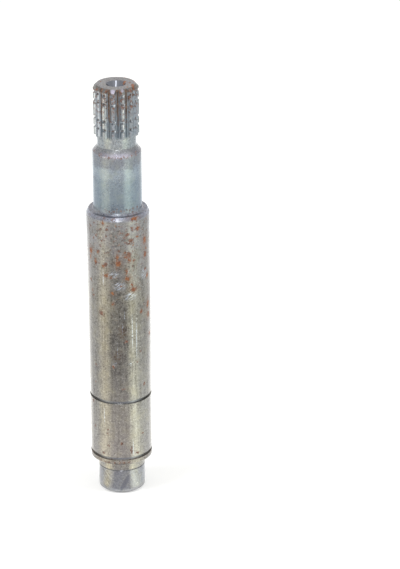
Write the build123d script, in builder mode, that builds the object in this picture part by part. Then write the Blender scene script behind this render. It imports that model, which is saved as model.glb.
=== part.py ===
from build123d import *
from math import acos, cos, pi, radians, sin, tan
import os

os.makedirs("parts", exist_ok=True)

# A turned steel shaft with a splined head, in millimetres. It stands upright on its journal:
# the origin is the centre of the lower end face, and +Z runs along the axis to the head.

# Journal at the lower end
journal_diameter = 19.0
journal_length = 14.3
journal_end_chamfer = 1.0

# Slightly larger band of the journal, left between the body and the ground surface
journal_band_diameter = 19.2
journal_band_length = 3.6

# Narrow groove where the grinding wheel ran out, just below that band
relief_groove_width = 0.5
relief_groove_depth = 0.3

# Large body, with two snap-ring grooves that hold bearings on it
body_diameter = 25.0
body_length = 108.1
body_lower_chamfer = 0.6
lead_in_width = 0.8
lead_in_length = 1.4
ring_groove_width = 1.3
ring_groove_depth = 0.55
ring_groove_land = 2.25
bearing_seat_length = 24.0

# Reduced stub above the body, set in from it by the height of the shoulder
shoulder_height = 2.85
stub_length = 24.4
stub_foot_radius = 1.0

# Cone and neck below the head; the neck lies just under the tooth floors, so the cutter runs out
cone_length = 2.45
neck_undercut = 0.05
neck_length = 4.5
neck_foot_radius = 0.6

# Splined head: involute teeth, cut through from the neck to the end face
tooth_count = 14
tooth_module = 1.19
pressure_angle = 30.0
root_drop = 1.0
head_length = 20.35
head_chamfer = 1.35
root_fillet = 0.2

# Shallow rings turned across the tooth tips, in two pairs with a plain stretch between
tip_ring_width = 1.5
tip_ring_depth = 0.75
tip_ring_wall_angle = 60.0
tip_ring_pitch = 3.53
tip_ring_top_drop = 2.75
tip_ring_places = (0, 1, 3, 4)

# Centre holes in both ends, for turning the shaft between centres
centre_mouth_diameter = 8.0
centre_angle = 60.0
centre_pilot_diameter = 3.2
centre_depth = 9.0
centre_edge_chamfer = 0.25

# Heights along the axis, worked out from the lengths above
band_start = journal_length - journal_band_length
body_start = journal_length
body_end = body_start + body_length
stub_end = body_end + stub_length
neck_start = stub_end + cone_length
head_start = neck_start + neck_length
head_end = head_start + head_length
lower_groove_start = body_start + ring_groove_land
upper_groove_start = lower_groove_start + ring_groove_width + bearing_seat_length

# Radii
journal_radius = journal_diameter / 2
band_radius = journal_band_diameter / 2
body_radius = body_diameter / 2
stub_radius = body_radius - shoulder_height
pitch_radius = tooth_module * tooth_count / 2
tip_radius = tooth_module * (tooth_count + 1) / 2
root_radius = tooth_module * (tooth_count - root_drop) / 2
base_radius = pitch_radius * cos(radians(pressure_angle))
neck_radius = root_radius - neck_undercut

# How far a cutter reaches past the surface that it cuts
cutter_overrun = 0.3


def flank_point(radius, side):
    """A point on the wall of a tooth gap that is centred on +X, on its upper or lower side."""
    angle_at_radius = acos(base_radius / radius)
    at_pitch = tan(radians(pressure_angle)) - radians(pressure_angle)
    at_radius = tan(angle_at_radius) - angle_at_radius
    half_gap = pi / (2 * tooth_count) - at_pitch + at_radius
    return (radius * cos(half_gap), side * radius * sin(half_gap))


# One gap between two teeth: two involute walls and a flat floor with filleted corners
with BuildSketch() as tooth_gap:
    with BuildLine():
        outer_radius = tip_radius + cutter_overrun
        middle_radius = (root_radius + outer_radius) / 2
        reach = (root_radius, middle_radius, outer_radius)
        upper_wall = Spline(*[flank_point(radius, 1) for radius in reach])
        lower_wall = Spline(*[flank_point(radius, -1) for radius in reach])
        RadiusArc(lower_wall @ 0, upper_wall @ 0, -root_radius)
        Line(upper_wall @ 1, lower_wall @ 1)
    make_face()
    corners = tooth_gap.vertices().sort_by_distance((0, 0))[:2]
    fillet(corners, root_fillet)

with BuildPart() as shaft:
    # The turned blank, drawn as one half of its section and spun about the axis
    with BuildSketch(Plane.XZ) as half_section:
        with BuildLine():
            Polyline(
                (0, 0),
                (journal_radius - journal_end_chamfer, 0),
                (journal_radius, journal_end_chamfer),
                (journal_radius, band_start - relief_groove_width),
                (journal_radius - relief_groove_depth, band_start - relief_groove_width),
                (journal_radius - relief_groove_depth, band_start),
                (band_radius, band_start),
                (band_radius, body_start),
                (body_radius - body_lower_chamfer, body_start),
                (body_radius, body_start + body_lower_chamfer),
                (body_radius, body_end - lead_in_length),
                (body_radius - lead_in_width, body_end),
                (stub_radius, body_end),
                (stub_radius, stub_end),
                (neck_radius, neck_start),
                (neck_radius, head_start),
                (tip_radius, head_start),
                (tip_radius, head_end - head_chamfer),
                (tip_radius - head_chamfer, head_end),
                (0, head_end),
                close=True,
            )
        make_face()
        stub_foot = half_section.vertices().sort_by_distance((stub_radius, body_end))[0]
        fillet(stub_foot, stub_foot_radius)
        neck_foot = half_section.vertices().sort_by_distance((neck_radius, neck_start))[0]
        fillet(neck_foot, neck_foot_radius)
    revolve(axis=Axis.Z)

    # Square snap-ring grooves, one at each end of the bearing seat
    for groove_start in (lower_groove_start, upper_groove_start):
        with BuildSketch(Plane.XY.offset(groove_start)):
            Circle(body_radius + cutter_overrun)
            Circle(body_radius - ring_groove_depth, mode=Mode.SUBTRACT)
        extrude(amount=ring_groove_width, mode=Mode.SUBTRACT)

    # Tooth gaps of the splined head, spaced so that one tooth faces -Y
    with BuildSketch(Plane.XY.offset(head_start)):
        first_gap = -90 + 180 / tooth_count
        with PolarLocations(0, tooth_count, start_angle=first_gap):
            add(tooth_gap.sketch)
    extrude(amount=head_length, mode=Mode.SUBTRACT)

    # Rings across the tooth tips, with sloping walls and a flat floor
    with BuildSketch(Plane.XZ):
        ring_heights = [head_end - tip_ring_top_drop - tip_ring_pitch * place for place in tip_ring_places]
        with Locations(*[(tip_radius + cutter_overrun, height) for height in ring_heights]):
            Trapezoid(
                width=tip_ring_width + 2 * cutter_overrun / tan(radians(tip_ring_wall_angle)),
                height=tip_ring_depth + cutter_overrun,
                left_side_angle=tip_ring_wall_angle,
                rotation=90,
                align=(Align.CENTER, Align.MIN),
            )
    revolve(axis=Axis.Z, mode=Mode.SUBTRACT)

    # A 60 degree centre hole in each end face, its sharp mouth broken by a fine chamfer
    for end_face in (Plane.XY.offset(head_end), -Plane.XY):
        with Locations(end_face):
            CounterSinkHole(
                radius=centre_pilot_diameter / 2,
                counter_sink_radius=centre_mouth_diameter / 2,
                depth=centre_depth,
                counter_sink_angle=centre_angle,
            )
    ends = shaft.faces().filter_by(Axis.Z)
    for end_face in (ends.sort_by(Axis.Z)[0], ends.sort_by(Axis.Z)[-1]):
        chamfer(end_face.inner_wires()[0].edges(), centre_edge_chamfer)

shaft.part.label = "screw_shaft"
export_step(shaft.part, "parts/screw_shaft.step")
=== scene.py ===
from math import cos, pi, radians, sin

import bpy
from mathutils import Matrix, Vector

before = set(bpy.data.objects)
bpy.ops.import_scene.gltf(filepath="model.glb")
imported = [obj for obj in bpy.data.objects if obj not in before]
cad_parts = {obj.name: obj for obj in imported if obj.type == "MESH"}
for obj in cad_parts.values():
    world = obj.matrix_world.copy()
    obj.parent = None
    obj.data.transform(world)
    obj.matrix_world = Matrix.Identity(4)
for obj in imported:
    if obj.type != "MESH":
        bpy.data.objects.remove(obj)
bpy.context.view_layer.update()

# The shaft: one bar of alloy steel, turned between centres, its bearing surfaces ground and its
# teeth hobbed. It has lain in a store: thin brown stain, rust spots and handling marks cover it.

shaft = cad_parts["screw_shaft"]

# The side that faces the camera, as an angle about the axis, and the sizes that the finish needs
front_turn = radians(6.5)
body_radius_mm = 12.5
shaft_length_mm = 174.1
tooth_count = 14


def linear(hex_colour):
    """An sRGB colour written as six hex digits, as linear RGBA."""
    channels = [int(hex_colour[i:i + 2], 16) / 255 for i in (0, 2, 4)]
    return [c / 12.92 if c <= 0.04045 else ((c + 0.055) / 1.055) ** 2.4 for c in channels] + [1]


def cleared_tree(owner):
    """The node tree of a material or a world, with nothing in it."""
    owner.use_nodes = True
    owner.node_tree.nodes.clear()
    return owner.node_tree


def add(tree, kind, inputs=None, result=0, stops=None, **settings):
    """Add one shader node with its settings, links and ramp stops, and give the wanted output."""
    made = tree.nodes.new(kind)
    for name, value in settings.items():
        setattr(made, name, value)
    for socket, value in (inputs or {}).items():
        if isinstance(value, bpy.types.NodeSocket):
            tree.links.new(value, made.inputs[socket])
        else:
            made.inputs[socket].default_value = value
    if stops:
        ramp = made.color_ramp
        for place, _ in stops[:-2]:
            ramp.elements.new(place)
        for element, (place, colour) in zip(ramp.elements, stops):
            element.position = place
            element.color = linear(colour) if isinstance(colour, str) else (colour, colour, colour, 1)
    return None if result is None else made.outputs[result]


def seen_from_front(tree):
    """A place turned so that -Y faces the camera, and its angle from there about the axis."""
    place = add(tree, "ShaderNodeTexCoord", result="Object")
    turned = add(tree, "ShaderNodeVectorRotate", {"Vector": place, "Angle": -front_turn},
                 rotation_type="Z_AXIS")
    to_right = add(tree, "ShaderNodeSeparateXYZ", {0: turned}, result="X")
    to_back = add(tree, "ShaderNodeSeparateXYZ", {0: turned}, result="Y")
    to_front = add(tree, "ShaderNodeMath", {0: to_back, 1: -1.0}, operation="MULTIPLY")
    angle = add(tree, "ShaderNodeMath", {0: to_right, 1: to_front}, operation="ARCTAN2")
    return turned, angle


def round_the_front(tree, angle, *stops):
    """A value or colour that changes round the axis: pairs of degrees from the front, left is
    negative, and what it is there."""
    share_of_turn = add(tree, "ShaderNodeMapRange", {"Value": angle, "From Min": -pi, "From Max": pi})
    return add(tree, "ShaderNodeValToRGB", {0: share_of_turn},
               stops=[((degrees_round + 180) / 360, value) for degrees_round, value in stops])


# Ground alloy steel mirrors the studio as pale and dark streaks along the shaft. The stain on it
# dims and greys them, and the rust is dull, brown and a little raised.
steel = bpy.data.materials.new("ground_alloy_steel_with_rust_spots")
tree = cleared_tree(steel)

# Places on the shaft in millimetres, turned so that -Y is the side that faces the camera, and the
# same surface rolled out flat: along the girth and up the axis
turned, angle = seen_from_front(tree)
spot = add(tree, "ShaderNodeVectorMath", {0: turned, "Scale": 1000.0}, operation="SCALE")
height = add(tree, "ShaderNodeSeparateXYZ", {0: spot}, result="Z")
toward_front = add(tree, "ShaderNodeMath", {0: angle}, operation="COSINE")
girth = add(tree, "ShaderNodeMath", {0: angle, 1: body_radius_mm}, operation="MULTIPLY")
rolled_out = add(tree, "ShaderNodeCombineXYZ", {"X": girth, "Y": height})
across = add(tree, "ShaderNodeVectorMath", {0: spot, 1: (1.0, 1.0, 0.0)}, operation="MULTIPLY")
radius = add(tree, "ShaderNodeVectorMath", {0: across}, result="Value", operation="LENGTH")
along = add(tree, "ShaderNodeMath", {0: height, 1: shaft_length_mm}, operation="DIVIDE")


def finish_along(*stops):
    """A value or colour that changes along the axis: pairs of a height in mm and what it is there."""
    return add(tree, "ShaderNodeValToRGB", {0: along},
               stops=[(mm / shaft_length_mm, value) for mm, value in stops])


# Bare metal: the ground journal and stub are the cleanest, the body carries an olive stain
bare_metal = finish_along(
    (10.2, "b4b7bd"), (10.3, "bfbdb7"), (11.95, "bfbdb7"), (12.1, "8b8983"), (12.3, "c8c6c0"),
    (14.2, "bbb9b3"), (14.4, "bab6b0"), (16.5, "bab6b0"), (17.9, "c1bfbb"), (41.8, "bebdb8"),
    (43.2, "bbbab6"), (62.0, "b6b5b2"), (80.0, "b6b4ae"), (104.0, "b7b5ae"), (120.9, "b5b5b3"),
    (121.1, "c2cadc"), (122.3, "b9bed2"), (123.2, "a6b0bc"), (125.0, "93a3b0"), (136.0, "9caab5"),
    (138.0, "aebbc5"), (141.5, "aebac4"), (142.3, "b0b8c1"), (146.6, "b1b7c0"), (147.0, "adadb8"),
    (149.3, "b3babf"), (153.7, "b6bfc5"), (153.9, "a0adb8"), (168.0, "a0abb4"), (173.95, "9fa4aa"),
    (174.05, "c5c4c9"),
)

# A grey band of old stain round the stub's upper end, with a wavy lower edge: noise adds up to
# 7 mm to the height of a place, and the band begins where the sum passes the two heights below
tide_wave_mm = 3.4
tide_rise_mm = 7.0
tide_from_mm = 144.8
tide_full_mm = 145.8
tide_noise = add(tree, "ShaderNodeTexNoise",
                 {"Vector": spot, "Scale": 1 / tide_wave_mm, "Detail": 3.0, "Roughness": 0.6})
tide_height = add(tree, "ShaderNodeMath", {0: tide_noise, 1: tide_rise_mm, 2: height},
                  operation="MULTIPLY_ADD")
tide = add(tree, "ShaderNodeMapRange",
           {"Value": tide_height, "From Min": tide_from_mm, "From Max": tide_full_mm})
on_band = finish_along((0.0, 0.0), (138.0, 0.0), (138.6, 1.0), (146.4, 1.0), (146.9, 0.0), (174.1, 0.0))
tide = add(tree, "ShaderNodeMath", {0: tide, 1: on_band}, operation="MULTIPLY")

# Mottling: stain in patches some 4 mm across and in grains under a millimetre, each surface with
# its own share of it
blotch_mm = 4.2
grain_mm = 0.75
blotches = add(tree, "ShaderNodeTexNoise",
               {"Vector": spot, "Scale": 1 / blotch_mm, "Detail": 5.0, "Roughness": 0.65})
grains = add(tree, "ShaderNodeTexNoise",
             {"Vector": spot, "Scale": 1 / grain_mm, "Detail": 4.0, "Roughness": 0.7})
grain_share = finish_along(
    (0.0, 0.5), (10.2, 0.5), (10.3, 0.6), (16.5, 0.9), (18.0, 0.65), (42.0, 0.65), (60.0, 0.8),
    (90.0, 0.95), (122.3, 0.95), (124.0, 0.5), (130.0, 0.3), (146.0, 0.4), (149.3, 0.8), (153.7, 0.8),
    (153.9, 1.0), (174.05, 1.0),
)
grain_tone = add(tree, "ShaderNodeValToRGB", {0: grains},
                 stops=[(0.33, "7f7b78"), (0.44, "dad8d5"), (0.56, "f4f3f0"), (0.68, "ffffff")])
blotch_tone = add(tree, "ShaderNodeValToRGB", {0: blotches},
                  stops=[(0.34, "d2cfd3"), (0.5, "f2f1f1"), (0.66, "fffbee")])

# Handling marks: scuffs under a millimetre wide that run along the shaft, on the body most of all
long_stretch = add(tree, "ShaderNodeVectorMath", {0: spot, 1: (1.15, 1.15, 0.06)}, operation="MULTIPLY")
scuffs = add(tree, "ShaderNodeTexNoise",
             {"Vector": long_stretch, "Scale": 1.0, "Detail": 3.0, "Roughness": 0.6})
scuff_tone = add(tree, "ShaderNodeValToRGB", {0: scuffs},
                 stops=[(0.34, "c4c1bd"), (0.5, "f0efec"), (0.66, "ffffff")])
on_body = finish_along((0.0, 0.2), (17.0, 0.3), (30.0, 0.6), (90.0, 0.8), (120.0, 0.5), (124.0, 0.15),
                       (174.0, 0.1))

# A lilac-grey haze with pale flecks lies on the upper body, where something has rubbed the stain off
haze_height = finish_along((0.0, 0.0), (88.0, 0.0), (98.0, 0.7), (118.0, 1.0), (121.5, 0.5), (122.3, 0.0),
                           (174.0, 0.0))
haze_patches = add(tree, "ShaderNodeMapRange", {"Value": blotches, "From Min": 0.42, "From Max": 0.62})
haze = add(tree, "ShaderNodeMath", {0: haze_height, 1: haze_patches}, operation="MULTIPLY")
fleck_mm = 0.55
flecks = add(tree, "ShaderNodeTexNoise",
             {"Vector": spot, "Scale": 1 / fleck_mm, "Detail": 3.0, "Roughness": 0.7})
pale_flecks = add(tree, "ShaderNodeMapRange", {"Value": flecks, "From Min": 0.56, "From Max": 0.68})
fleck_height = finish_along(
    (0.0, 0.45), (10.0, 0.45), (14.0, 0.6), (44.0, 0.7), (80.0, 0.65), (118.0, 0.65), (122.0, 0.5),
    (126.0, 0.2), (146.0, 0.3), (150.0, 0.5), (153.8, 0.8), (174.1, 0.8),
)
pale_flecks = add(tree, "ShaderNodeMath", {0: pale_flecks, 1: fleck_height}, operation="MULTIPLY")

# Fine marks of the grinding wheel: rings round the shaft, drawn 0.5 mm apart so that they show
ring_stretch = add(tree, "ShaderNodeVectorMath", {0: spot, 1: (0.06, 0.06, 2.0)}, operation="MULTIPLY")
wheel_marks = add(tree, "ShaderNodeTexNoise", {"Vector": ring_stretch, "Scale": 1.0, "Detail": 2.0})

# Polishing marks slant across the journal's left side, 0.8 mm apart
slant_mark_mm = 0.8
slant = add(tree, "ShaderNodeVectorMath", {0: rolled_out, 1: (0.62, 0.78, 0.0)}, result="Value",
            operation="DOT_PRODUCT")
slant_waves = add(tree, "ShaderNodeCombineXYZ", {"X": slant})
slant_marks = add(tree, "ShaderNodeTexNoise",
                  {"Vector": slant_waves, "Scale": 1 / slant_mark_mm, "Detail": 2.0})
slant_tone = add(tree, "ShaderNodeValToRGB", {0: slant_marks},
                 stops=[(0.38, "a5a19c"), (0.5, "dedcd6"), (0.62, "fffef6")])
slant_band = round_the_front(tree, angle, (-180, 0.2), (-72, 0.2), (-50.4, 1.0), (-14.4, 1.0), (0, 0.15),
                             (28.8, 0.1), (180, 0.2))
on_journal = finish_along((0.0, 1.0), (9.6, 1.0), (10.2, 0.0), (174.0, 0.0))
slant_share = add(tree, "ShaderNodeMath", {0: slant_band, 1: on_journal}, operation="MULTIPLY")
slant_share = add(tree, "ShaderNodeMath", {0: slant_share, 1: haze_patches}, operation="MULTIPLY")

# Rust spots and marks that the photograph shows: angle from the front in degrees, height, half
# width and half height in mm
orange_spots = (
    (-27, 120.1, 0.5, 0.6), (40, 117.3, 0.7, 0.9), (39, 113.9, 0.5, 0.5), (58, 111.1, 1.1, 1.6),
    (-59, 106.8, 1.0, 1.1), (-1, 106.1, 0.5, 1.4), (1, 103.3, 1.1, 1.2), (59, 105.1, 0.9, 1.2),
    (-22, 98.0, 0.9, 0.6), (16, 99.7, 0.35, 1.4), (18, 96.7, 0.85, 1.0), (29, 91.7, 1.1, 0.8),
    (-10, 90.5, 0.65, 0.65), (-10, 85.9, 0.65, 0.55), (47, 81.3, 0.6, 0.6), (67, 82.9, 1.0, 1.5),
    (69, 78.3, 1.0, 1.2), (75, 69.5, 0.9, 0.8), (66, 95.4, 0.9, 0.8), (34, 121.6, 1.7, 0.5),
    (-45, 103.4, 0.5, 0.8), (-39, 107.2, 0.4, 0.4), (22, 104.6, 0.5, 0.7), (15, 105.8, 0.8, 0.4),
    (26, 93.6, 0.4, 0.9), (-27, 101.9, 0.4, 0.5), (-61, 104.0, 0.4, 0.7), (62, 107.5, 0.5, 0.7),
    (-13, 97.2, 0.5, 0.4), (13, 107.9, 0.35, 0.5), (30, 104.0, 0.3, 0.5), (-56, 90.0, 0.3, 0.5),
)
brown_spots = (
    (-19, 117.7, 0.4, 0.6), (-59, 117.4, 0.6, 0.5), (-32, 117.2, 0.4, 0.4), (18, 115.4, 0.9, 0.6),
    (26, 112.7, 1.0, 0.8), (5, 116.4, 0.4, 0.4), (-37, 107.6, 0.5, 0.5), (21, 106.8, 0.9, 1.3),
    (-44, 102.5, 0.7, 0.8), (-23, 102.5, 0.7, 0.8), (6, 93.8, 0.6, 0.5), (-33, 81.3, 0.7, 0.8),
    (59, 98.7, 0.8, 0.6), (-59, 94.2, 0.5, 0.6), (-53, 88.1, 0.4, 0.6), (-29, 112.6, 0.4, 0.4),
    (14, 69.4, 0.8, 0.6), (-49, 57.6, 0.5, 0.5), (-11, 58.5, 0.5, 0.5), (36, 59.7, 0.4, 0.4),
    (43, 64.2, 0.5, 0.6), (51, 49.0, 0.5, 0.7), (-52, 50.1, 0.4, 0.5), (8, 48.6, 0.9, 0.3),
    (-56, 30.0, 0.4, 0.4), (-25, 30.1, 0.4, 0.4), (-24, 28.3, 0.45, 0.4), (2, 24.4, 0.55, 0.5),
    (-24, 22.9, 0.4, 0.4), (-34, 19.2, 0.7, 0.4), (20, 20.8, 0.35, 1.8), (33, 19.3, 0.9, 0.4),
    (45, 27.5, 0.4, 0.5), (-61, 40.8, 0.5, 0.5), (9, 124.5, 0.45, 0.35), (24, 124.7, 0.4, 0.3),
    (-8, 124.2, 0.5, 0.3), (39, 124.8, 0.4, 0.35), (54, 124.7, 0.5, 0.4), (-74, 136.2, 0.6, 0.4),
    (11, 114.0, 0.4, 0.3), (14, 112.2, 0.5, 0.3), (29, 110.9, 0.4, 0.4), (22, 111.3, 0.7, 0.4),
    (-16, 108.0, 0.35, 0.3), (-7, 111.0, 0.3, 0.35), (2, 108.6, 0.35, 0.3), (-34, 110.4, 0.3, 0.4),
    (-42, 114.2, 0.3, 0.4), (-50, 112.6, 0.35, 0.4), (-21, 114.6, 0.3, 0.5), (-47, 119.3, 0.3, 0.4),
    (17, 124.4, 0.3, 0.25), (-26, 146.7, 0.4, 0.25), (-18, 146.5, 0.3, 0.2), (-10, 146.7, 0.5, 0.2),
    (-3, 146.5, 0.3, 0.25), (4, 146.7, 0.4, 0.2), (11, 146.5, 0.5, 0.25), (19, 146.7, 0.3, 0.2),
    (28, 146.5, 0.4, 0.25), (40, 146.7, 0.5, 0.25), (52, 146.5, 0.4, 0.3), (-44, 146.6, 0.4, 0.25),
    (31, 124.3, 0.3, 0.25), (-18, 124.0, 0.35, 0.25), (-30, 124.6, 0.3, 0.25), (0, 125.4, 0.3, 0.25),
    (-12, 15.6, 0.5, 0.4), (-2, 15.2, 0.4, 0.5), (6, 15.6, 0.5, 0.35), (14, 15.4, 0.4, 0.5),
    (-24, 15.5, 0.5, 0.3),
)
rubbed_patches = (
    (-8, 98.4, 2.0, 1.2), (3, 93.6, 2.2, 1.8), (23, 88.8, 2.2, 1.3), (17.5, 100.0, 0.5, 0.5),
    (-9.5, 60.2, 1.0, 0.5), (-9, 59.0, 0.8, 0.4), (21, 59.6, 0.8, 0.4), (55, 97.0, 1.6, 2.2),
)
long_lines = (
    (-31, 36.0, 0.2, 3.4), (25.5, 73.0, 0.16, 7.0), (34, 70.0, 0.2, 8.0), (11, 80.8, 0.16, 1.9),
    (24, 21.6, 0.16, 3.6), (-3, 66.0, 0.14, 3.0), (7, 75.0, 0.14, 2.2), (-28, 97.0, 0.2, 3.0),
)

# The edge of each spot wanders by half a millimetre and more, as rust does
edge_wave_mm = 0.95
edge_wander_mm = 1.7
wander = add(tree, "ShaderNodeTexNoise",
             {"Vector": spot, "Scale": 1 / edge_wave_mm, "Detail": 4.0, "Roughness": 0.75}, result="Color")
wandered = add(tree, "ShaderNodeVectorMath",
               {0: wander, 1: (2 * edge_wander_mm, 2 * edge_wander_mm, 0.0),
                2: (-edge_wander_mm, -edge_wander_mm, 0.0)}, operation="MULTIPLY_ADD")
rolled_edge = add(tree, "ShaderNodeVectorMath", {0: rolled_out, 1: wandered}, operation="ADD")


def least_of(distances):
    """The smallest of several distances."""
    least = distances[0]
    for distance in distances[1:]:
        least = add(tree, "ShaderNodeMath", {0: least, 1: distance}, operation="MINIMUM")
    return least


def nearest_mark(marks, surface):
    """How far off the nearest listed mark is: 1 at its edge, less inside it, more outside."""
    distances = []
    for across_mm, up_mm, half_width, half_height in marks:
        reach = add(tree, "ShaderNodeVectorMath",
                    {0: surface, 1: (1 / half_width, 1 / half_height, 0.0),
                     2: (-across_mm / half_width, -up_mm / half_height, 0.0)}, operation="MULTIPLY_ADD")
        distances.append(add(tree, "ShaderNodeVectorMath", {0: reach}, result="Value", operation="LENGTH"))
    return least_of(distances)


def marks_at(marks, surface, soft):
    """Where the listed marks lie: 1 inside them, 0 outside, with an edge as soft as asked."""
    return add(tree, "ShaderNodeMapRange",
               {"Value": nearest_mark(marks, surface), "From Min": 1 + soft, "From Max": 1 - soft},
               interpolation_type="SMOOTHSTEP")


def round_the_wall(marks):
    """The same marks with their angle from the front, in degrees, as a length along the girth."""
    return [(radians(degrees_round) * body_radius_mm, *rest) for degrees_round, *rest in marks]


# The orange spots, the faint brown stain that has spread round them, and the brown spots
near_orange = nearest_mark(round_the_wall(orange_spots), rolled_edge)
orange = add(tree, "ShaderNodeMapRange", {"Value": near_orange, "From Min": 1.3, "From Max": 0.7},
             interpolation_type="SMOOTHSTEP")
spread = add(tree, "ShaderNodeMapRange", {"Value": near_orange, "From Min": 3.2, "From Max": 1.2},
             interpolation_type="SMOOTHSTEP")
brown = marks_at(round_the_wall(brown_spots), rolled_edge, 0.45)

# A darker wedge leans across the journal's front, where a tool has slipped
wedge_turned = add(tree, "ShaderNodeVectorRotate", {"Vector": rolled_out, "Angle": radians(35)},
                   rotation_type="Z_AXIS")
wedge = marks_at(((-1.2, 5.0, 1.1, 4.6),), wedge_turned, 0.2)
wedge = add(tree, "ShaderNodeMath", {0: wedge, 1: on_journal}, operation="MULTIPLY")

# Rubbed patches are bundles of short slanting scratches, and the long lines break off here and there
patches = marks_at(round_the_wall(rubbed_patches), rolled_edge, 0.5)
rub_turned = add(tree, "ShaderNodeVectorRotate", {"Vector": rolled_out, "Angle": radians(-28)},
                 rotation_type="Z_AXIS")
rub_stretch = add(tree, "ShaderNodeVectorMath", {0: rub_turned, 1: (0.4, 3.0, 0.0)}, operation="MULTIPLY")
rub_scratches = add(tree, "ShaderNodeTexNoise", {"Vector": rub_stretch, "Scale": 1.0, "Detail": 2.0})
rub_scratches = add(tree, "ShaderNodeMapRange",
                    {"Value": rub_scratches, "From Min": 0.49, "From Max": 0.55})
rubbed = add(tree, "ShaderNodeMath", {0: patches, 1: rub_scratches}, operation="MULTIPLY")
lines = marks_at(round_the_wall(long_lines), rolled_out, 0.5)
line_breaks = add(tree, "ShaderNodeMapRange", {"Value": grains, "From Min": 0.4, "From Max": 0.55})
lines = add(tree, "ShaderNodeMath", {0: lines, 1: line_breaks}, operation="MULTIPLY")
rubbed = add(tree, "ShaderNodeMath", {0: rubbed, 1: lines}, operation="MAXIMUM")

# Faint brown smudges below the middle of the body
smudges = marks_at(round_the_wall(((7, 73.7, 2.0, 3.4), (-2, 63.0, 2.2, 2.4), (-33, 81.5, 1.4, 1.8))),
                   rolled_edge, 0.7)
smudge_grains = add(tree, "ShaderNodeMapRange", {"Value": grains, "From Min": 0.6, "From Max": 0.42})
smudges = add(tree, "ShaderNodeMath", {0: smudges, 1: smudge_grains}, operation="MULTIPLY")

# Scattered rust grains, thickest on the upper body, the cone's edge and the head
rust_grain_mm = 1.15
rust_density = finish_along(
    (0.0, 0.0), (14.3, 0.1), (14.4, 0.6), (16.5, 0.85), (18.0, 0.25), (43.0, 0.2), (60.0, 0.25),
    (80.0, 0.42), (92.0, 0.6), (104.0, 0.76), (118.0, 0.86), (122.3, 0.78), (124.6, 0.75), (126.0, 0.1),
    (144.0, 0.05), (146.3, 0.85), (147.6, 0.8), (149.2, 0.4), (150.0, 0.2), (153.6, 0.2), (153.9, 0.55),
    (161.0, 0.75), (166.0, 1.1), (172.5, 1.15), (173.0, 0.8), (173.95, 0.8), (174.05, 0.35),
)
rust_grains = add(tree, "ShaderNodeTexNoise",
                  {"Vector": spot, "Scale": 1 / rust_grain_mm, "Detail": 5.0, "Roughness": 0.75})
rust_level = add(tree, "ShaderNodeMath", {0: rust_density, 1: 0.16, 2: rust_grains},
                 operation="MULTIPLY_ADD")
scattered = add(tree, "ShaderNodeMapRange", {"Value": rust_level, "From Min": 0.685, "From Max": 0.78})

# Head: the lands of the teeth, their flanks and the floors between them, told apart by the radius
on_teeth = finish_along((0.0, 0.0), (153.7, 0.0), (153.8, 1.0), (173.9, 1.0), (174.0, 0.0))
land = add(tree, "ShaderNodeMapRange", {"Value": radius, "From Min": 8.55, "From Max": 8.8})
land = add(tree, "ShaderNodeMath", {0: land, 1: on_teeth}, operation="MULTIPLY")
floor_share = add(tree, "ShaderNodeMapRange", {"Value": radius, "From Min": 8.35, "From Max": 7.85},
                  interpolation_type="SMOOTHSTEP")
outside_hole = add(tree, "ShaderNodeMapRange", {"Value": radius, "From Min": 6.4, "From Max": 6.9})
floor_share = add(tree, "ShaderNodeMath", {0: floor_share, 1: on_teeth}, operation="MULTIPLY")
floor_share = add(tree, "ShaderNodeMath", {0: floor_share, 1: outside_hole}, operation="MULTIPLY")
flank = add(tree, "ShaderNodeMath", {0: land, 1: floor_share}, operation="ADD")
flank = add(tree, "ShaderNodeMath", {0: on_teeth, 1: flank}, operation="SUBTRACT", use_clamp=True)
flank = add(tree, "ShaderNodeMath", {0: flank, 1: outside_hole}, operation="MULTIPLY")

# Across each tooth: 1 at the middle of its land, -1 at the middle of the floor beside it
tooth_turn = add(tree, "ShaderNodeMath", {0: angle, 1: tooth_count, 2: tooth_count * front_turn},
                 operation="MULTIPLY_ADD")
across_tooth = add(tree, "ShaderNodeMath", {0: tooth_turn}, operation="COSINE")

# Painted light and shade on the teeth: the right flank of each tooth is painted light as a highlight, the
# left one darker as shade
tooth_side = add(tree, "ShaderNodeMath", {0: tooth_turn}, operation="SINE")
flank_lit_side = add(tree, "ShaderNodeMapRange", {"Value": tooth_side, "From Min": -0.2, "From Max": 0.4})
flank_light_and_shade = add(tree, "ShaderNodeMix", {"Factor": flank_lit_side, 6: linear("98a1aa"), 7: linear("f0f6fa")},
                   result=2, data_type="RGBA")

# Brown rust fills the floors towards the top and thins out below the middle of the teeth
rust_down = finish_along((0.0, 0.0), (153.8, 0.0), (158.0, 0.1), (162.0, 0.55), (165.0, 1.0), (174.1, 1.0))
floor_rust = add(tree, "ShaderNodeMath", {0: rust_down, 1: 0.3, 2: rust_grains}, operation="MULTIPLY_ADD")
floor_rust = add(tree, "ShaderNodeMapRange", {"Value": floor_rust, "From Min": 0.59, "From Max": 0.73})
floor_middle = add(tree, "ShaderNodeMapRange",
                   {"Value": across_tooth, "From Min": -0.58, "From Max": -0.9})
floor_rust = add(tree, "ShaderNodeMath", {0: floor_rust, 1: floor_share}, operation="MULTIPLY")
floor_rust = add(tree, "ShaderNodeMath", {0: floor_rust, 1: floor_middle}, operation="MULTIPLY")
# Painted shade: the middle of each floor between the teeth is painted dark blue-grey, where shade falls
# between the teeth
floor_painted_shade = add(tree, "ShaderNodeMath", {0: floor_share, 1: floor_middle}, operation="MULTIPLY")

# Each ring across the tooth tips holds a dark pit, and a line of rust lies just under the upper two
ring_heights_mm = (171.35, 167.82, 160.76, 157.23)
upper_line_heights_mm = (170.35, 166.8)


def height_from(heights_mm):
    """How far a place is above or below the nearest of the listed heights, in mm."""
    distances = []
    for mm in heights_mm:
        away = add(tree, "ShaderNodeMath", {0: height, 1: mm}, operation="SUBTRACT")
        distances.append(add(tree, "ShaderNodeMath", {0: away}, operation="ABSOLUTE"))
    return least_of(distances)


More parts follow.
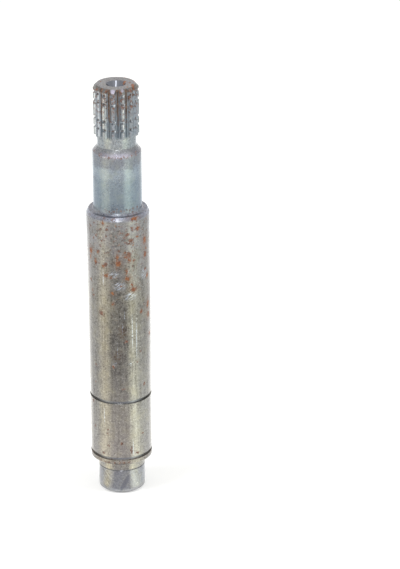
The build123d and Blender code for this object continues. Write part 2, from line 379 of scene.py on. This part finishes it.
pit_wave_mm = 1.6
pit_wander_mm = 0.6
pit_noise = add(tree, "ShaderNodeTexNoise", {"Vector": spot, "Scale": 1 / pit_wave_mm, "Detail": 3.0})
pit_wander = add(tree, "ShaderNodeMath", {0: pit_noise, 1: 2 * pit_wander_mm, 2: -pit_wander_mm},
                 operation="MULTIPLY_ADD")
pit_place = add(tree, "ShaderNodeMath", {0: height_from(ring_heights_mm), 1: pit_wander}, operation="ADD")
pits = add(tree, "ShaderNodeMapRange", {"Value": pit_place, "From Min": 0.6, "From Max": 0.25})
pit_width = add(tree, "ShaderNodeMapRange", {"Value": across_tooth, "From Min": 0.45, "From Max": 0.8})
pit_level = add(tree, "ShaderNodeMath", {0: toward_front, 1: -0.25, 2: pit_noise},
                operation="MULTIPLY_ADD")
pit_gaps = add(tree, "ShaderNodeMapRange", {"Value": pit_level, "From Min": 0.2, "From Max": 0.36})
pits = add(tree, "ShaderNodeMath", {0: pits, 1: pit_width}, operation="MULTIPLY")
pits = add(tree, "ShaderNodeMath", {0: pits, 1: on_teeth}, operation="MULTIPLY")
pits = add(tree, "ShaderNodeMath", {0: pits, 1: pit_gaps}, operation="MULTIPLY")
under_rings = add(tree, "ShaderNodeMapRange",
                  {"Value": height_from(upper_line_heights_mm), "From Min": 0.5, "From Max": 0.2})
under_gaps = add(tree, "ShaderNodeMapRange", {"Value": rust_grains, "From Min": 0.44, "From Max": 0.52})
under_rings = add(tree, "ShaderNodeMath", {0: under_rings, 1: land}, operation="MULTIPLY")
under_rings = add(tree, "ShaderNodeMath", {0: under_rings, 1: under_gaps}, operation="MULTIPLY")

# Painted highlight: two lands at the front are painted near white along most of their length, broken here
# and there
crest_highlight = marks_at(round_the_wall(((-32.5, 165.5, 0.5, 8.5), (19.8, 162.5, 0.24, 6.5))), rolled_out, 0.5)
crest_highlight_breaks = add(tree, "ShaderNodeMapRange", {"Value": grains, "From Min": 0.36, "From Max": 0.56})
crest_highlight = add(tree, "ShaderNodeMath", {0: crest_highlight, 1: land}, operation="MULTIPLY")
crest_highlight = add(tree, "ShaderNodeMath", {0: crest_highlight, 1: crest_highlight_breaks}, operation="MULTIPLY")

# Rust on the end face, along its right rim, and at the mouth of its hole, placed in mm to the
# right of the axis and away from the camera
face_spots = (
    (6.7, -2.6, 0.7, 2.0), (3.5, 1.9, 0.7, 0.8), (5.6, 5.4, 0.4, 0.7), (7.2, 2.3, 0.4, 0.8),
    (5.4, 0.4, 0.4, 0.5), (4.6, -4.7, 0.4, 0.6), (-6.0, 2.2, 0.3, 0.4), (3.6, 6.6, 0.5, 0.4),
)
face_wander_mm = 0.8
on_top = finish_along((0.0, 0.0), (172.2, 0.0), (172.4, 1.0), (174.1, 1.0))
wavy_place = add(tree, "ShaderNodeVectorMath",
                 {0: wander, 1: (2 * face_wander_mm, 2 * face_wander_mm, 0.0),
                  2: (-face_wander_mm, -face_wander_mm, 0.0)}, operation="MULTIPLY_ADD")
wavy_place = add(tree, "ShaderNodeVectorMath", {0: across, 1: wavy_place}, operation="ADD")
top_rust = marks_at(face_spots, wavy_place, 0.4)
top_rust = add(tree, "ShaderNodeMath", {0: top_rust, 1: on_top}, operation="MULTIPLY")

# Rust on the chamfers round the head's upper end: angle from the front, height and half sizes.
# The chamfers are darker than the face, and two of them at the front are painted bright: a painted glint, a
# highlight put in as colour.
chamfer_spots = (
    (-40, 173.3, 1.0, 0.5), (-25, 173.2, 0.8, 0.6), (-19, 173.6, 0.6, 0.3), (6, 173.5, 0.9, 0.5),
    (14, 172.9, 0.6, 0.9), (33, 173.4, 1.4, 0.5), (45, 173.1, 0.9, 0.7), (60, 173.3, 1.2, 0.5),
    (-60, 173.1, 1.0, 0.6), (78, 173.2, 1.0, 0.5),
)
chamfer_glint_spots = ((-7.0, 173.25, 1.3, 0.8), (19.5, 173.6, 0.8, 0.3))
chamfer_rust = marks_at(round_the_wall(chamfer_spots), rolled_edge, 0.4)
chamfer_rust = add(tree, "ShaderNodeMath", {0: chamfer_rust, 1: outside_hole}, operation="MULTIPLY")
dark_chamfers = add(tree, "ShaderNodeMapRange", {"Value": radius, "From Min": 7.45, "From Max": 7.65})
dark_chamfers = add(tree, "ShaderNodeMath", {0: dark_chamfers, 1: on_top}, operation="MULTIPLY")
chamfer_glints = marks_at(round_the_wall(chamfer_glint_spots), rolled_edge, 0.35)
chamfer_glints = add(tree, "ShaderNodeMath", {0: chamfer_glints, 1: outside_hole}, operation="MULTIPLY")

# Painted highlight: the rounded rim between stub and cone is painted lighter at the front, where it faces
# the camera
rim_highlight = finish_along((0.0, 0.0), (146.1, 0.0), (146.6, 1.0), (147.4, 0.8), (148.1, 0.0), (174.0, 0.0))
rim_highlight_front = add(tree, "ShaderNodeMapRange", {"Value": toward_front, "From Min": 0.68, "From Max": 0.9})
rim_highlight = add(tree, "ShaderNodeMath", {0: rim_highlight, 1: rim_highlight_front}, operation="MULTIPLY")

# The centre hole in the end face: smooth where the lathe's centre turned in it. No rust is scattered in it
# or on the two chamfers with the painted glint.
hole_mouth = add(tree, "ShaderNodeMapRange", {"Value": radius, "From Min": 4.0, "From Max": 3.8})
upper_end = finish_along((0.0, 0.0), (160.0, 0.0), (161.0, 1.0), (174.1, 1.0))
hole = add(tree, "ShaderNodeMath", {0: hole_mouth, 1: upper_end}, operation="MULTIPLY")
for clean in (hole, chamfer_glints):
    off_clean = add(tree, "ShaderNodeMath", {0: 1.0, 1: clean}, operation="SUBTRACT")
    scattered = add(tree, "ShaderNodeMath", {0: scattered, 1: off_clean}, operation="MULTIPLY")

# Ring grooves in the body: their floors carry painted shade, dark at the sides, and are painted lighter at
# the front as a painted reflection
groove_floor = add(tree, "ShaderNodeMapRange", {"Value": radius, "From Min": 12.45, "From Max": 12.2})
in_grooves = finish_along((0.0, 0.0), (16.5, 0.0), (16.56, 1.0), (17.85, 1.0), (17.9, 0.0), (41.8, 0.0),
                          (41.86, 1.0), (43.14, 1.0), (43.2, 0.0), (174.1, 0.0))
groove_painted_shade = add(tree, "ShaderNodeMath", {0: groove_floor, 1: in_grooves}, operation="MULTIPLY")
groove_front_reflection = add(tree, "ShaderNodeMapRange", {"Value": toward_front, "From Min": 0.62, "From Max": 0.9})
groove_shade_and_reflection = add(tree, "ShaderNodeMix", {"Factor": groove_front_reflection, 6: linear("454440"), 7: linear("8c8f95")},
                    result=2, data_type="RGBA")

# Everything that is rust together, with its own change of colour from grain to grain
all_rust = add(tree, "ShaderNodeMath", {0: orange, 1: scattered}, operation="MAXIMUM")
for rust in (brown, floor_rust, under_rings, top_rust, chamfer_rust):
    all_rust = add(tree, "ShaderNodeMath", {0: all_rust, 1: rust}, operation="MAXIMUM", use_clamp=True)
brown_colour = add(tree, "ShaderNodeValToRGB", {0: grains},
                   stops=[(0.32, "543a31"), (0.5, "7b5341"), (0.68, "9a7358")])
orange_colour = add(tree, "ShaderNodeValToRGB", {0: grains},
                    stops=[(0.32, "6b3c28"), (0.5, "8f5836"), (0.68, "ab784b")])
floor_colour = add(tree, "ShaderNodeValToRGB", {0: grains},
                   stops=[(0.34, "2f231c"), (0.5, "513c2e"), (0.66, "876a50")])
orange_share = add(tree, "ShaderNodeMath", {0: orange, 1: top_rust}, operation="MAXIMUM")
rust_colour = brown_colour
for hue, where in ((orange_colour, orange_share), (floor_colour, floor_rust)):
    rust_colour = add(tree, "ShaderNodeMix", {"Factor": where, 6: rust_colour, 7: hue}, result=2,
                      data_type="RGBA")

# The finish from the bare metal up, with painted light and shade among its layers: each layer's colour,
# where it lies, how strong it is, and whether it tints what is under it or covers it
tints = "MULTIPLY"
covers = "MIX"
colour = bare_metal
for layer, where, strength, laid in (
    (linear("dcdcdf"), tide, 1.0, tints),
    (grain_tone, grain_share, 1.0, tints),
    (blotch_tone, 1.0, 0.75, tints),
    (scuff_tone, on_body, 1.0, tints),
    (linear("9c9dad"), haze, 0.45, covers),
    (linear("e4e2da"), pale_flecks, 1.0, covers),
    (slant_tone, slant_share, 1.0, tints),
    (linear("7d7e88"), wedge, 0.6, covers),
    (linear("7c604c"), smudges, 0.5, covers),
    (linear("8d6a52"), spread, 0.28, covers),
    (linear("d3dae6"), rubbed, 1.0, covers),
    # Among the layers below, these are painted light: the flanks' light and shade, the shade in the middle
    # of the tooth floors, the highlights on two lands, on the rim and on two chamfers, and the shade and
    # reflection in the ring grooves
    (flank_light_and_shade, flank, 0.8, covers),
    (linear("a2abb4"), floor_share, 1.0, covers),
    (linear("5a646e"), floor_painted_shade, 1.0, covers),
    (linear("a3a6ad"), land, 0.5, covers),
    (linear("f7f6f0"), crest_highlight, 0.8, covers),
    (linear("807e7a"), dark_chamfers, 0.85, covers),
    (linear("dcd9ea"), rim_highlight, 0.6, covers),
    (linear("bfbacb"), chamfer_glints, 1.0, covers),
    (linear("8a8d96"), hole, 1.0, covers),
    (linear("433431"), pits, 1.0, covers),
    (groove_shade_and_reflection, groove_painted_shade, 1.0, covers),
    (rust_colour, all_rust, 1.0, covers),
):
    share = add(tree, "ShaderNodeMath", {0: where, 1: strength}, operation="MULTIPLY")
    colour = add(tree, "ShaderNodeMix", {"Factor": share, 6: colour, 7: layer}, result=2,
                 data_type="RGBA", blend_type=laid)

# Ground metal is smooth, hobbed flanks are duller, stain and rust are rough
flank_roughness = 0.45
hole_roughness = 0.04
rust_roughness = 0.85
roughness = finish_along(
    (0.0, 0.15), (14.2, 0.2), (14.4, 0.34), (16.5, 0.34), (18.0, 0.25), (60.0, 0.28), (104.0, 0.33),
    (122.3, 0.33), (123.0, 0.30), (146.0, 0.26), (153.7, 0.30), (153.9, 0.30), (172.0, 0.34), (174.0, 0.42),
)
stain = add(tree, "ShaderNodeMath", {0: blotches, 1: 0.3, 2: -0.15}, operation="MULTIPLY_ADD")
roughness = add(tree, "ShaderNodeMath", {0: roughness, 1: stain}, operation="ADD")
hobbed = add(tree, "ShaderNodeMath", {0: flank, 1: floor_share}, operation="ADD")
for where, value in ((hobbed, flank_roughness), (hole, hole_roughness), (all_rust, rust_roughness)):
    roughness = add(tree, "ShaderNodeMix", {"Factor": where, 2: roughness, 3: value}, data_type="FLOAT")
metal_share = add(tree, "ShaderNodeMath", {0: 1.0, 1: all_rust}, operation="SUBTRACT")

# Relief: edges rounded by a tenth of a millimetre, the wheel's rings, scuffs, stain and raised rust,
# each with its strength and its depth in mm. The hole is smooth inside.
edge_radius_mm = 0.12
edges = add(tree, "ShaderNodeBevel", {"Radius": edge_radius_mm / 1000}, samples=6)
relief = edges
for pattern, strength, depth_mm in (
    (wheel_marks, 0.5, 0.03), (scuffs, 0.6, 0.05), (grains, 0.6, 0.04), (flecks, 0.6, 0.04),
    (all_rust, 0.8, 0.06),
):
    relief = add(tree, "ShaderNodeBump",
                 {"Strength": strength, "Distance": depth_mm / 1000, "Height": pattern, "Normal": relief})
relief = add(tree, "ShaderNodeMix", {"Factor": hole, 4: relief, 5: edges}, result=1, data_type="VECTOR")

# Turning and grinding leave lines round the axis, so the shine is drawn out along it. A thin coat
# stands for the film of oil.
axis_tangent = add(tree, "ShaderNodeTangent", direction_type="RADIAL", axis="Z")
skin = add(tree, "ShaderNodeBsdfPrincipled", {
    "Base Color": colour, "Metallic": metal_share, "Roughness": roughness, "Normal": relief,
    "Coat Weight": 0.5, "Coat Roughness": 0.15, "Anisotropic": 0.5, "Anisotropic Rotation": 0.25,
    "Tangent": axis_tangent,
})
add(tree, "ShaderNodeOutputMaterial", {"Surface": skin}, result=None)

for slot in shaft.material_slots:
    slot.material = steel

# The floor: a sheet of matt white card that the shaft stands on. It shows white to the camera and
# in the metal, and keeps the soft shadow at the shaft's foot.

floor_half_m = 1.6
floor_mesh = bpy.data.meshes.new("floor")
floor_mesh.from_pydata(
    [(-floor_half_m, -floor_half_m, 0), (floor_half_m, -floor_half_m, 0),
     (floor_half_m, floor_half_m, 0), (-floor_half_m, floor_half_m, 0)], [], [(0, 1, 2, 3)])
floor = bpy.data.objects.new("floor", floor_mesh)
bpy.context.scene.collection.objects.link(floor)


def seen_rays(tree):
    """1 for rays from the camera, also by way of metal or glass, and 0 for rays that gather light."""
    rays = tree.nodes.new("ShaderNodeLightPath").outputs
    seen = rays["Is Camera Ray"]
    for kind in ("Is Glossy Ray", "Is Transmission Ray"):
        seen = add(tree, "ShaderNodeMath", {0: seen, 1: rays[kind]}, operation="MAXIMUM")
    return seen


# Uncoated card scatters light evenly and has no shine. A faint glow, only where it is seen, brings
# it up to the white of the photograph.
white_glow = 0.34
card = bpy.data.materials.new("matt_white_card")
card_tree = cleared_tree(card)
card_face = add(card_tree, "ShaderNodeBsdfDiffuse", {"Color": linear("e8e8e6")})
glow = add(card_tree, "ShaderNodeMath", {0: seen_rays(card_tree), 1: white_glow}, operation="MULTIPLY")
glow = add(card_tree, "ShaderNodeEmission", {"Color": linear("ffffff"), "Strength": glow})
card_look = add(card_tree, "ShaderNodeAddShader", {0: card_face, 1: glow})
add(card_tree, "ShaderNodeOutputMaterial", {"Surface": card_look}, result=None)
floor_mesh.materials.append(card)

# Studio cards lying round the shaft, out of the camera's sight: a dark one in front and grey ones
# at the sides. They only show in the metal, and give it its dark band and light streaks.

card_inner_m = 0.0125
card_outer_m = 1.5
card_height_m = 0.0002
card_parts = 96
card_points = []
card_faces = []
for part in range(card_parts):
    turn = 2 * pi * part / card_parts
    for reach_m in (card_inner_m, card_outer_m):
        card_points.append((reach_m * cos(turn), reach_m * sin(turn), card_height_m))
    after = (part + 1) % card_parts
    card_faces.append((2 * part, 2 * part + 1, 2 * after + 1, 2 * after))


def surface_for_mirroring(name, points, faces):
    """A surface that shows in the metal alone: the camera doesn't see it, and it casts no shadow."""
    mesh = bpy.data.meshes.new(name)
    mesh.from_pydata(points, [], faces)
    surface = bpy.data.objects.new(name, mesh)
    bpy.context.scene.collection.objects.link(surface)
    surface.visible_camera = False
    surface.visible_diffuse = False
    surface.visible_shadow = False
    surface.visible_transmission = False
    surface.visible_volume_scatter = False
    return surface


cards = surface_for_mirroring("studio_cards", card_points, card_faces)

# Card of several greys, even and matt: each shows as one streak along the shaft. The higher a place
# on the shaft is, the farther out lies the card that it mirrors: 0.3 m off for the top of the body
# and 0.4 m off for the top of the stub.
grey_card = bpy.data.materials.new("dark_and_grey_studio_card")
cards_tree = cleared_tree(grey_card)
card_place, card_angle = seen_from_front(cards_tree)
card_reach = add(cards_tree, "ShaderNodeVectorMath", {0: card_place}, result="Value", operation="LENGTH")

# The pale side cards, left and right, with a cooler white beyond the body's reach
sides = round_the_front(
    cards_tree, card_angle,
    (-180, "ffffff"), (-150, "ffffff"), (-130, "dadada"), (-110, "c4c4c4"), (-85, "c6c6c6"),
    (-68, "e4dfd2"), (-55, "f1ebda"), (-40, "f4eedc"), (36, "f6f7ea"), (56, "f0f2e4"), (70, "d0d2cc"),
    (90, "c3c5c5"), (110, "c2c4c4"), (130, "cecece"), (150, "f0f0f0"), (180, "ffffff"),
)
left_reach = add(cards_tree, "ShaderNodeValToRGB", {0: card_reach},
                 stops=[(0.0, 1.0), (0.04, 0.9), (0.13, 0.8), (0.17, 0.76), (0.2, 0.92), (0.27, 0.84),
                        (0.3, 0.6), (0.315, 1.0), (0.35, 1.0), (0.36, 0.92), (0.5, 0.92)])
right_reach = add(cards_tree, "ShaderNodeValToRGB", {0: card_reach},
                  stops=[(0.0, 1.0), (0.06, 1.0), (0.13, 0.94), (0.17, 0.74), (0.2, 0.62), (0.245, 0.8),
                         (0.27, 0.92), (0.3, 0.98), (0.35, 1.0), (0.36, 0.92), (0.5, 0.92)])
on_right = round_the_front(cards_tree, card_angle, (-180, 0.0), (-2, 0.0), (2, 1.0), (180, 1.0))
side_reach = add(cards_tree, "ShaderNodeMix", {"Factor": on_right, 6: left_reach, 7: right_reach},
                 result=2, data_type="RGBA")
blue_reach = add(cards_tree, "ShaderNodeValToRGB", {0: card_reach},
                 stops=[(0.0, "ffffff"), (0.26, "ffffff"), (0.3, "f1f5f9"), (0.36, "f0f5fa"),
                        (0.4, "f6f9fb")])
level = sides
for tint in (side_reach, blue_reach):
    level = add(cards_tree, "ShaderNodeMix", {"Factor": 1.0, 6: level, 7: tint}, result=2,
                data_type="RGBA", blend_type="MULTIPLY")

# The dark card in front: pale grey near the shaft, darkest 0.26 m off, and mid grey again from
# 0.3 m on, where the stub mirrors it
dark_share = round_the_front(cards_tree, card_angle, (-180, 0.0), (-54, 0.0), (-28, 1.0), (28, 1.0),
                             (44, 0.0), (180, 0.0))
dark_level = add(cards_tree, "ShaderNodeValToRGB", {0: card_reach},
                 stops=[(0.0, "a0a1a5"), (0.03, "a3a2a4"), (0.06, "b2adac"), (0.10, "aba7a5"),
                        (0.14, 0.13), (0.2, 0.09), (0.26, 0.05), (0.275, 0.08), (0.3, 0.54), (0.5, 0.6)])
level = add(cards_tree, "ShaderNodeMix", {"Factor": dark_share, 6: level, 7: dark_level}, result=2,
            data_type="RGBA")

# How bright the cards are: brightest behind the shaft, lifted in front and beside it where the
# stub mirrors them, and dimmed far out behind
behind = round_the_front(cards_tree, card_angle, (-180, 1.0), (-150, 1.0), (-115, 0.0), (115, 0.0),
                         (150, 0.55), (180, 1.0))
brightness = add(cards_tree, "ShaderNodeMapRange", {"Value": behind, "To Min": 1.8, "To Max": 2.2})
outer = round_the_front(cards_tree, card_angle, (-180, 1.0), (-130, 1.0), (-112, 0.0), (112, 0.0),
                        (130, 0.8), (180, 1.0))
inner = add(cards_tree, "ShaderNodeMath", {0: 1.0, 1: outer}, operation="SUBTRACT")
stub_glow = add(cards_tree, "ShaderNodeValToRGB", {0: card_reach},
                stops=[(0.0, 0.0), (0.28, 0.0), (0.3, 0.2), (0.315, 1.0), (0.345, 0.7), (0.36, 0.1),
                       (0.5, 0.1)])
stub_glow = add(cards_tree, "ShaderNodeMath", {0: stub_glow, 1: inner}, operation="MULTIPLY")
stub_glow = add(cards_tree, "ShaderNodeMapRange", {"Value": stub_glow, "To Min": 1.0, "To Max": 1.3})
far_off = add(cards_tree, "ShaderNodeMapRange", {"Value": card_reach, "From Min": 0.26, "From Max": 0.3})
far_behind = add(cards_tree, "ShaderNodeMath", {0: far_off, 1: outer}, operation="MULTIPLY")
far_behind = add(cards_tree, "ShaderNodeMapRange", {"Value": far_behind, "To Min": 1.0, "To Max": 0.62})
for change in (stub_glow, far_behind):
    brightness = add(cards_tree, "ShaderNodeMath", {0: brightness, 1: change}, operation="MULTIPLY")
card_light = add(cards_tree, "ShaderNodeEmission", {"Color": level, "Strength": brightness})
add(cards_tree, "ShaderNodeOutputMaterial", {"Surface": card_light}, result=None)
cards.data.materials.append(grey_card)

# A grey ceiling over the shaft, with one bright strip above the camera. Like the cards, it only
# shows in the metal: it keeps the end face and chamfers grey, and lights a line in the centre hole.

ceiling_radius_m = 1.3
ceiling_low = radians(14)
ceiling_rows = 24
ceiling_parts = 96
ceiling_points = []
ceiling_faces = []
for row in range(ceiling_rows + 1):
    rise = ceiling_low + (pi / 2 - ceiling_low) * row / ceiling_rows
    row_radius_m = ceiling_radius_m * cos(rise)
    for part in range(ceiling_parts):
        turn = 2 * pi * part / ceiling_parts
        ceiling_points.append((row_radius_m * cos(turn), row_radius_m * sin(turn),
                               ceiling_radius_m * sin(rise)))
for row in range(ceiling_rows):
    here = row * ceiling_parts
    above = here + ceiling_parts
    for part in range(ceiling_parts):
        after = (part + 1) % ceiling_parts
        ceiling_faces.append((here + part, here + after, above + after, above + part))
ceiling = surface_for_mirroring("grey_ceiling", ceiling_points, ceiling_faces)

# Flat grey paint, even and without shine, in three belts: low, middle and high. Each has its own
# brightness round the shaft, and the next one fades in between two heights. The glint is a narrow
# bright strip in the low belt.
middle_belt_m = (0.985, 1.02)
high_belt_m = (1.18, 1.22)
ceiling_strength = 2.2
glint_strength = 4.5
grey_paint = bpy.data.materials.new("grey_ceiling_paint")
ceiling_tree = cleared_tree(grey_paint)
ceiling_place, ceiling_angle = seen_from_front(ceiling_tree)
ceiling_height = add(ceiling_tree, "ShaderNodeSeparateXYZ", {0: ceiling_place}, result="Z")
low_strip = round_the_front(ceiling_tree, ceiling_angle, (-180, 0.3), (-60, 0.29), (-20, 0.4), (20, 0.4),
                            (60, 0.29), (180, 0.3))
middle_band = round_the_front(ceiling_tree, ceiling_angle, (-180, 0.27), (-80, 0.29), (-15, 0.4),
                              (15, 0.42), (70, 0.52), (110, 0.5), (180, 0.3))
high_patch = round_the_front(ceiling_tree, ceiling_angle, (-180, 0.22), (-56, 0.22), (-46, 1.0), (-4, 1.0),
                             (4, 0.25), (28, 0.3), (40, 0.8), (64, 0.75), (74, 0.22), (180, 0.22))
glint = round_the_front(ceiling_tree, ceiling_angle, (-180, 0.0), (-9, 0.0), (-6, 1.0), (2, 1.0), (5, 0.0),
                        (180, 0.0))
ceiling_level = low_strip
for belt, (start_m, full_m) in ((middle_band, middle_belt_m), (high_patch, high_belt_m)):
    reached = add(ceiling_tree, "ShaderNodeMapRange",
                  {"Value": ceiling_height, "From Min": start_m, "From Max": full_m})
    ceiling_level = add(ceiling_tree, "ShaderNodeMix", {"Factor": reached, 6: ceiling_level, 7: belt},
                        result=2, data_type="RGBA")
ceiling_level = add(ceiling_tree, "ShaderNodeMath", {0: ceiling_level, 1: ceiling_strength},
                    operation="MULTIPLY")
glint_level = add(ceiling_tree, "ShaderNodeMapRange",
                  {"Value": ceiling_height, "From Min": middle_belt_m[0], "From Max": middle_belt_m[1],
                   "To Min": glint_strength, "To Max": 0.0})
glint = add(ceiling_tree, "ShaderNodeMath", {0: glint, 1: glint_level}, operation="MULTIPLY")
ceiling_level = add(ceiling_tree, "ShaderNodeMath", {0: ceiling_level, 1: glint}, operation="ADD")
ceiling_light = add(ceiling_tree, "ShaderNodeEmission",
                    {"Color": linear("ffffff"), "Strength": ceiling_level})
add(ceiling_tree, "ShaderNodeOutputMaterial", {"Surface": ceiling_light}, result=None)
ceiling.data.materials.append(grey_paint)

# Light: an even white room, and two soft boxes overhead, one on each side. The boxes light the rust
# and the floor, and don't show in the metal, where the cards stand for them.

room = bpy.data.worlds.new("white_room")
bpy.context.scene.world = room
room_tree = cleared_tree(room)
room_level = add(room_tree, "ShaderNodeMapRange",
                 {"Value": seen_rays(room_tree), "To Min": 0.6, "To Max": 1.0})
room_light = add(room_tree, "ShaderNodeBackground", {"Color": linear("ffffff"), "Strength": room_level})
add(room_tree, "ShaderNodeOutputWorld", {"Surface": room_light}, result=None)

# Each box: metres to the right, to the front and up, width and height in metres, and watts
front = Vector((sin(front_turn), -cos(front_turn), 0))
right = Vector((cos(front_turn), sin(front_turn), 0))
middle_of_shaft = Vector((0, 0, 0.09))
for name, sideways, forward, up, width, tall, watts in (
    ("soft_box_left", -0.75, 0.35, 1.0, 0.6, 0.6, 7.0),
    ("soft_box_right", 0.8, 0.2, 0.95, 0.5, 0.5, 5.5),
):
    lamp_data = bpy.data.lights.new(name, "AREA")
    lamp_data.shape = "RECTANGLE"
    lamp_data.size = width
    lamp_data.size_y = tall
    lamp_data.energy = watts
    lamp = bpy.data.objects.new(name, lamp_data)
    bpy.context.scene.collection.objects.link(lamp)
    lamp.visible_glossy = False
    lamp.location = right * sideways + front * forward + Vector((0, 0, up))
    lamp.rotation_euler = (middle_of_shaft - lamp.location).to_track_quat("-Z", "Y").to_euler()

# Camera: 1.1 m away, looking down on the shaft, framed as the photograph is (400 by 569). Blender
# measures the lens against the longer side of the picture, which is its height.

picture_height_px = 569
focal_length_px = 2700
camera_pitch = radians(23.2)
camera_roll = radians(-0.22)
camera_right_m = 0.0324
camera_away_m = 0.9932
camera_up_m = 0.5147

camera_data = bpy.data.cameras.new("camera")
camera_data.sensor_width = 36
camera_data.lens = focal_length_px * camera_data.sensor_width / picture_height_px
camera = bpy.data.objects.new("camera", camera_data)
bpy.context.scene.collection.objects.link(camera)
aim = Matrix.Rotation(pi / 2 - camera_pitch, 4, "X") @ Matrix.Rotation(camera_roll, 4, "Z")
stand = Matrix.Translation((camera_right_m, -camera_away_m, camera_up_m))
camera.matrix_world = Matrix.Rotation(front_turn, 4, "Z") @ stand @ aim
bpy.context.scene.camera = camera
bpy.context.scene.view_settings.view_transform = "Standard"
